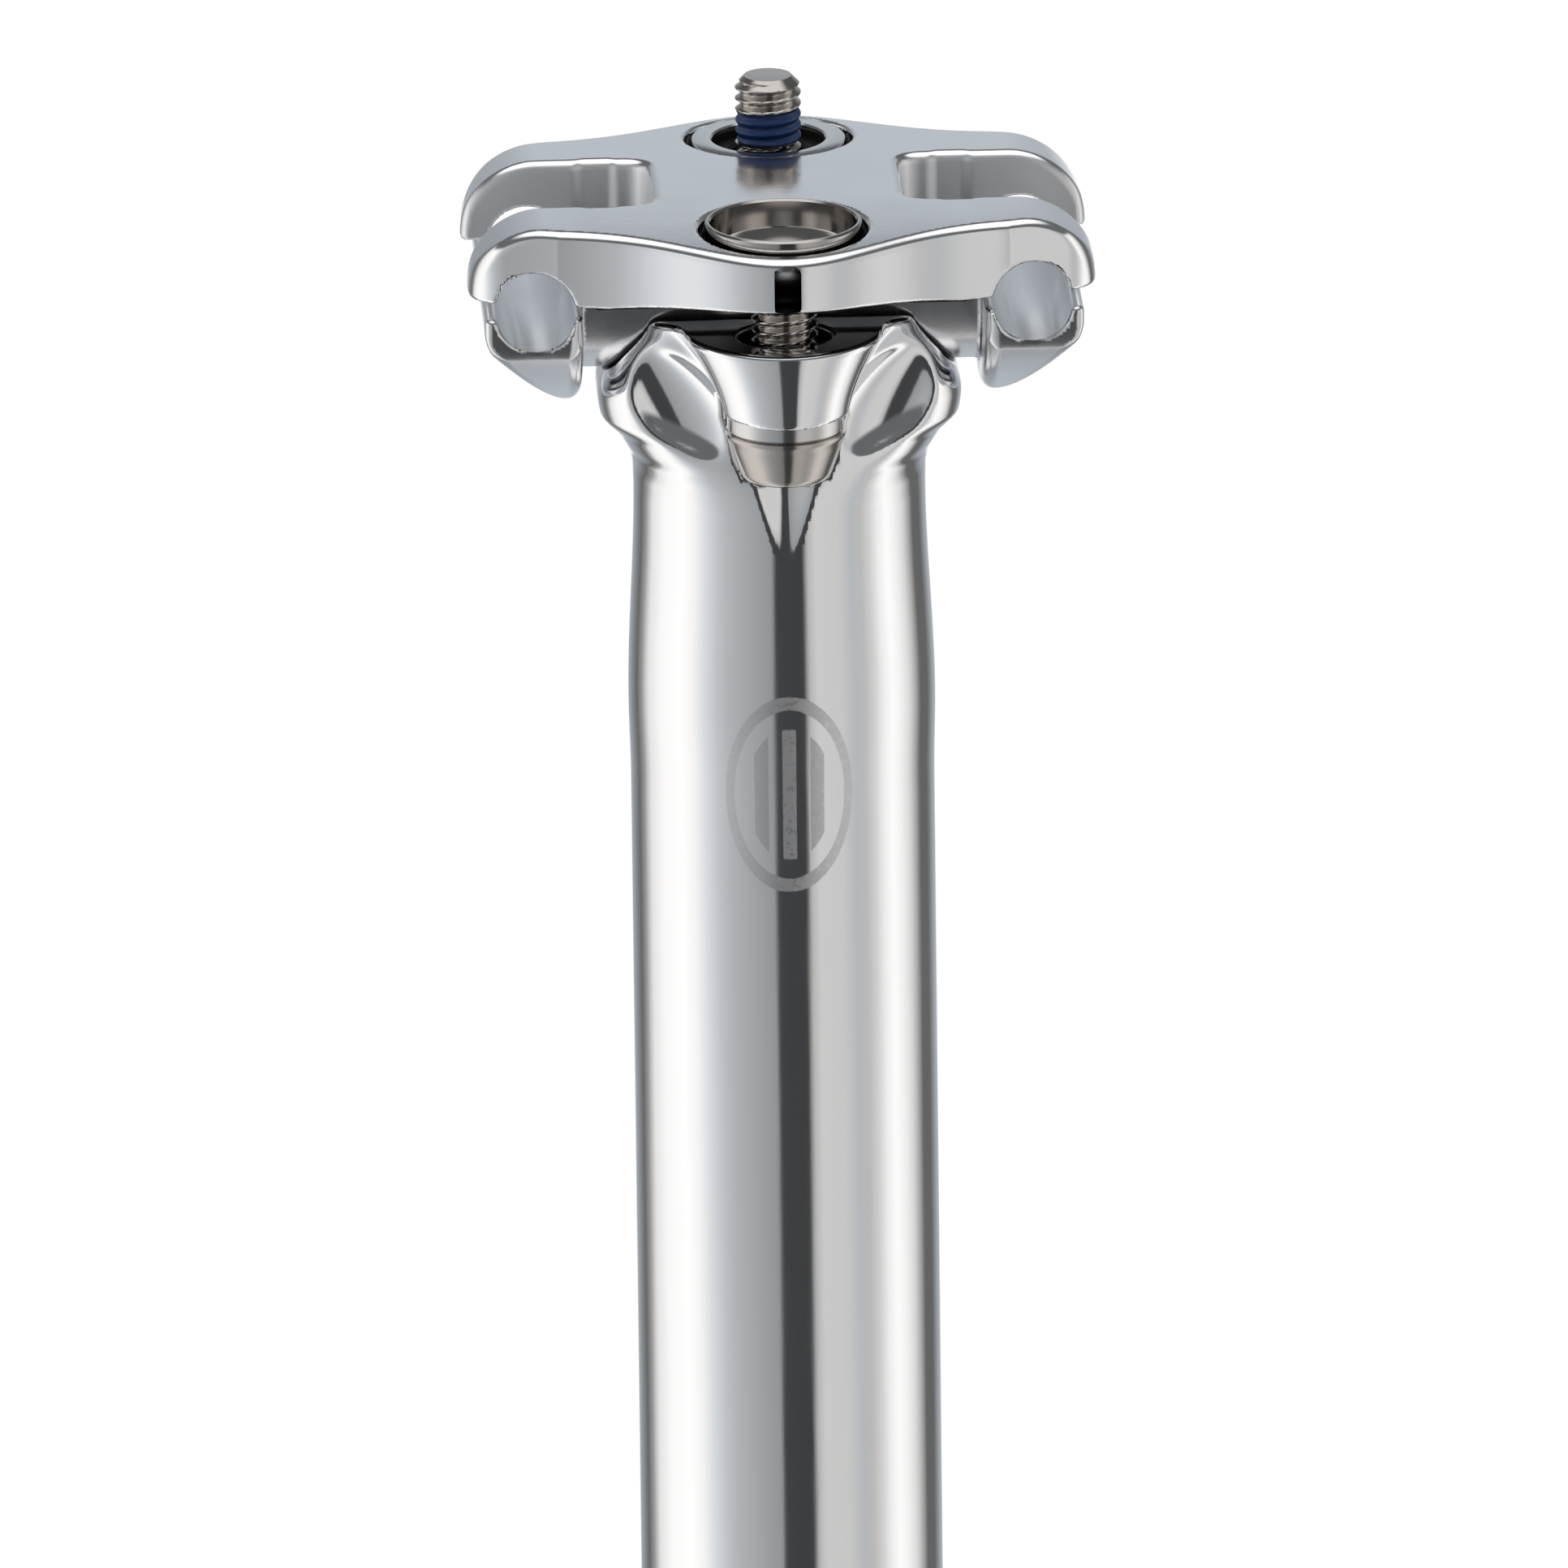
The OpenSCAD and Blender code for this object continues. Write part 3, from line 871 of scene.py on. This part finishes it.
def postMaterial():
    material, nodes, links, shader = newMaterial("PolishedPost")
    do = lambda *v: mathNode(nodes, links, *v)
    shader.inputs["Metallic"].default_value = 1
    coordinate = nodes.new("ShaderNodeTexCoord").outputs["Object"]
    x, y, z = millimetres(nodes, links, coordinate)
    mask = etchedMark(nodes, links, coordinate, x, y, z)
    broad = noiseNode(nodes, links, coordinate, 60, 4)
    smooth = remapped(nodes, links, broad, polish["smooth"], polish["hazy"])
    rough = mixedValue(nodes, links, mask, smooth, mark["rough"])
    tint = mixedColour(nodes, links, mask, polish["colour"], mark["colour"])
    # Painted shade: the trough and the upper part of each bolt hole are coloured dark.
    trough = under(nodes, links, distanceTo(nodes, links, y, z), post["troughRadius"] + 0.3)
    drilled = under(nodes, links, distanceTo(nodes, links, x, y, boltY), post["holeRadius"] + 0.05)
    upper = under(nodes, links, do("MULTIPLY", z, -1.0), 9.4)
    inside = do("MAXIMUM", trough, do("MULTIPLY", drilled, upper))
    links.new(mixedValue(nodes, links, inside, rough, polish["shadeRough"]), shader.inputs["Roughness"])
    links.new(mixedColour(nodes, links, inside, tint, polish["shadeColour"]), shader.inputs["Base Color"])
    fine = noiseNode(nodes, links, stretched(nodes, links, coordinate, (1, 1, 0.06)), 1500, 2)
    bumped(nodes, links, shader, fine, 0.012)
    return material


def clampUnderShade(nodes, links, x, y, z):  # painted shade on the plate's underside between the rails, and in the gap round each nut
    do = lambda *v: mathNode(nodes, links, *v)
    down = under(nodes, links, upwardness(nodes, links), -0.75, 0.3)
    low = do("MULTIPLY", down, under(nodes, links, z, 2.6))
    low = do("MULTIPLY", low, under(nodes, links, do("ABSOLUTE", x), 17))
    hole = under(nodes, links, distanceTo(nodes, links, x, y, boltY), clamp["nutHole"] + 0.06, 0.1)
    return do("MAXIMUM", low, do("MULTIPLY", hole, under(nodes, links, z, 5.2, 1.6)))


def slotWalls(nodes, links, x, y, z):  # the upright walls between two fingers
    do = lambda *v: mathNode(nodes, links, *v)
    upright = under(nodes, links, do("ABSOLUTE", upwardness(nodes, links)), 0.6, 0.3)
    between = under(nodes, links, do("ABSOLUTE", y), clamp["slotHalf"] + 0.75, 0.3)
    start = clamp["slotStart"]
    outside = remapped(nodes, links, do("ABSOLUTE", x), 0, 1, start - 0.6, start - 0.3)
    return do("MULTIPLY", do("MULTIPLY", upright, between), outside)


def cradleTopShade(nodes, links, x, y, z):  # painted shade on the barrel's flat top, under the plate
    do = lambda *v: mathNode(nodes, links, *v)
    top = under(nodes, links, do("MULTIPLY", z, -1.0), 1.6)
    return do("MULTIPLY", top, under(nodes, links, do("ABSOLUTE", x), 16.5))


def nutRecessShade(nodes, links, x, y, z):  # painted shade in the ring nut's hole and recess
    do = lambda *v: mathNode(nodes, links, *v)
    middle = under(nodes, links, distanceTo(nodes, links, x, y, boltY), nut["recess"] + 0.03, 0.06)
    return do("MULTIPLY", middle, under(nodes, links, z, 6.9, 0.3))


even, upGrain, nutGrain = (1, 1, 1), (1, 1, 0.2), (1, 1, 0.3)
postLook = postMaterial()
# The clamp, cradle and ring nut take painted shade from their masks.
clampLook = metal("SatinForging", (0.92, 0.925, 0.935), 0.1, 0.16, 0.02, even, 1300, clampUnderShade, slotWalls)
cradleLook = metal("SatinCradle", (0.84, 0.845, 0.86), 0.16, 0.25, 0.03, even, 1500, cradleTopShade)
boltLook = metal("BoltSteel", (0.54, 0.505, 0.475), 0.12, 0.2, 0.015, upGrain, 1800)
washerLook = metal("WasherSteel", (0.7, 0.69, 0.68), 0.12, 0.2, 0.02, even, 1600)
rearNutLook = metal("NutSteel", (0.78, 0.78, 0.78), 0.1, 0.17, 0.015, nutGrain, 1600, nutRecessShade)
frontNutLook = metal("WarmNutSteel", (0.52, 0.495, 0.47), 0.09, 0.14, 0.01, nutGrain, 1600)


def nylonMaterial(name, colour):
    material, nodes, links, shader = newMaterial(name)
    shader.inputs["Base Color"].default_value = (*colour, 1)
    coordinate = nodes.new("ShaderNodeTexCoord").outputs["Object"]
    broad = noiseNode(nodes, links, coordinate, 900, 3)
    links.new(remapped(nodes, links, broad, 0.35, 0.5), shader.inputs["Roughness"])
    bumped(nodes, links, shader, noiseNode(nodes, links, coordinate, 2400, 2), 0.08)
    return material


nylonLook = nylonMaterial("BlueNylon", (0.004, 0.03, 0.12))

for piece, node, body, slotName, look in (
    (postPiece, "post", "post", "polished_post", postLook),
    (clampPiece, "upper_clamp", "clamp", "polished_clamp", clampLook),
    (cradlePiece, "lower_cradle", "cradle", "polished_clamp", cradleLook),
    (boltFront, "front_bolt", "front_bolt", "bolt_steel", boltLook),
    (boltRear, "rear_bolt", "rear_bolt", "bolt_steel", boltLook),
    (patchFront, "front_bolt_patch", "front_bolt", "nylon", nylonLook),
    (patchRear, "rear_bolt_patch", "rear_bolt", "nylon", nylonLook),
    (washerFront, "front_washer", "front_washer", "washer_steel", washerLook),
    (washerRear, "rear_washer", "rear_washer", "washer_steel", washerLook),
    (nutFront, "front_nut", "front_nut", "nut_steel", frontNutLook),
    (nutRear, "rear_nut", "rear_nut", "nut_steel", rearNutLook),
):
    piece.data.materials.append(look)
    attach(piece, body)
    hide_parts(node)
print("materials")

# Floor, light and surroundings
view = {
    "azimuth": -2.5, "elevation": 17.5, "roll": 0.68,
    "distance": 3.0, "width": 0.1401, "below": 0.0488, "aside": 0.0001,
}
studio = {
    "floorSize": 12, "floorColour": (0.9, 0.9, 0.9), "floorRough": 0.8,
    "overhead": 55, "overheadSize": 3, "overheadPlace": (0, 0.6, 2.4),
    "level": 1.1, "backdrop": (0.96, 0.96, 0.96, 1),
    "lowGlow": (0.95, 0.95, 0.95), "dimBand": (0.13, 0.135, 0.14), "overheadGlow": (1.15, 1.15, 1.16),
}

floorMesh = bpy.data.meshes.new("studioFloor")
half = studio["floorSize"] / 2
floorCorners = [(-half, -half, 0), (half, -half, 0), (half, half, 0), (-half, half, 0)]
floorMesh.from_pydata(floorCorners, [], [(0, 1, 2, 3)])
floor = bpy.data.objects.new("studioFloor", floorMesh)
floor.location.z = cadSize[0][2] - 0.0002
bpy.context.scene.collection.objects.link(floor)
floorLook, _, _, floorShader = newMaterial("PaleFloor")
floorShader.inputs["Base Color"].default_value = (*studio["floorColour"], 1)
floorShader.inputs["Roughness"].default_value = studio["floorRough"]
floorMesh.materials.append(floorLook)
floor.visible_glossy = False

lamp = bpy.data.lights.new("overheadSoftbox", "AREA")
lamp.shape = "SQUARE"
lamp.size = studio["overheadSize"]
lamp.energy = studio["overhead"]
lampObject = bpy.data.objects.new("overheadSoftbox", lamp)
lampObject.location = studio["overheadPlace"]
lampObject.visible_glossy = False
lampObject.visible_camera = False
bpy.context.scene.collection.objects.link(lampObject)

# Brightness of the surroundings: degrees round from the front, then the level.
around = [
    (-180, 0.5), (-157, 0.3), (-140, 0.12), (-130, 0.3), (-120, 0.74), (-104, 0.92), (-83, 0.98), (-71, 0.88),
    (-60, 0.67), (-50, 0.52), (-40, 0.43), (-20, 0.34), (-7, 0.29), (-4, 0.05), (17.5, 0.045), (20.5, 0.43),
    (27, 0.57), (45, 0.55), (57, 0.46), (66, 0.47), (75, 0.62), (83, 0.83), (92, 0.96), (102, 0.85),
    (112, 0.66), (121, 0.36), (128, 0.12), (142, 0.12), (157, 0.35), (180, 0.5),
]


def warmth(degrees):  # how far the light leans from blue to yellow
    if abs(degrees) > 150:
        return -0.07
    return 0.015 if abs(degrees) > 62 or 18 < degrees < 50 else -0.03


def horizonColour(nodes, links, azimuth):
    ramp = nodes.new("ShaderNodeValToRGB")
    stops = ramp.color_ramp.elements
    for degrees, value in around:
        if abs(degrees) == 180:  # the ramp starts with its two end stops
            stop = stops[0 if degrees < 0 else -1]
        else:
            stop = stops.new(degrees / 360 + 0.5)
        warm, value = warmth(degrees), value * studio["level"]
        stop.color = (value * (1 + warm), value, value * (1 - warm), 1)
    links.new(azimuth, ramp.inputs["Fac"])
    return ramp.outputs["Color"]


# From the ground up: a glow low at the back, the horizon's pattern, a dim band, then the light overhead.
def surroundings():
    world = bpy.data.worlds.new("studio")
    bpy.context.scene.world = world
    world.use_nodes = True
    nodes, links = world.node_tree.nodes, world.node_tree.links
    do = lambda *v: mathNode(nodes, links, *v)
    split = nodes.new("ShaderNodeSeparateXYZ")
    links.new(nodes.new("ShaderNodeTexCoord").outputs["Generated"], split.inputs[0])
    x, y, z = split.outputs
    turn = math.radians(view["azimuth"])
    side = do("ADD", do("MULTIPLY", x, math.cos(turn)), do("MULTIPLY", y, math.sin(turn)))
    front = do("SUBTRACT", do("MULTIPLY", x, math.sin(turn)), do("MULTIPLY", y, math.cos(turn)))
    azimuth = do("ADD", do("DIVIDE", do("ARCTAN2", side, front), 2 * math.pi), 0.5)
    fromFront = do("ABSOLUTE", do("SUBTRACT", azimuth, 0.5))
    behind = remapped(nodes, links, fromFront, 0, 1, 0.462, 0.48)
    notDown = remapped(nodes, links, z, 0, 1, -0.46, -0.33)
    belowHorizon = remapped(nodes, links, z, 1, 0, -0.06, 0.02)
    glow = do("MULTIPLY", do("MULTIPLY", behind, notDown), belowHorizon)
    colour = mixedColour(nodes, links, glow, horizonColour(nodes, links, azimuth), studio["lowGlow"])
    for colourAbove, low, high in ((studio["dimBand"], 0.36, 0.47), (studio["overheadGlow"], 0.74, 0.86)):
        colour = mixedColour(nodes, links, remapped(nodes, links, z, 0, 1, low, high), colour, colourAbove)
    seen = nodes.new("ShaderNodeMix")
    seen.data_type = "RGBA"
    links.new(nodes.new("ShaderNodeLightPath").outputs["Is Camera Ray"], seen.inputs["Factor"])
    links.new(colour, seen.inputs[6])
    seen.inputs[7].default_value = studio["backdrop"]
    links.new(seen.outputs[2], nodes["Background"].inputs["Color"])


surroundings()
bpy.context.scene.view_settings.view_transform = "Standard"

camera = bpy.data.cameras.new("mainCamera")
camera.sensor_width = 36
camera.lens = camera.sensor_width * view["distance"] / view["width"]
camera.clip_start = 0.1
camera.clip_end = 60
cameraObject = bpy.data.objects.new("mainCamera", camera)
turn, rise = math.radians(view["azimuth"]), math.radians(view["elevation"])
back = Vector((math.sin(turn) * math.cos(rise), -math.cos(turn) * math.cos(rise), math.sin(rise)))
aim = Vector((view["aside"], 0, railsHeight - view["below"]))
cameraObject.location = aim + back * view["distance"]
facing = (-back).to_track_quat("-Z", "Y").to_matrix().to_4x4()
roll = Matrix.Rotation(math.radians(-view["roll"]), 4, "Z")
cameraObject.rotation_euler = (facing @ roll).to_euler()
bpy.context.scene.collection.objects.link(cameraObject)
bpy.context.scene.camera = cameraObject
print("studio")
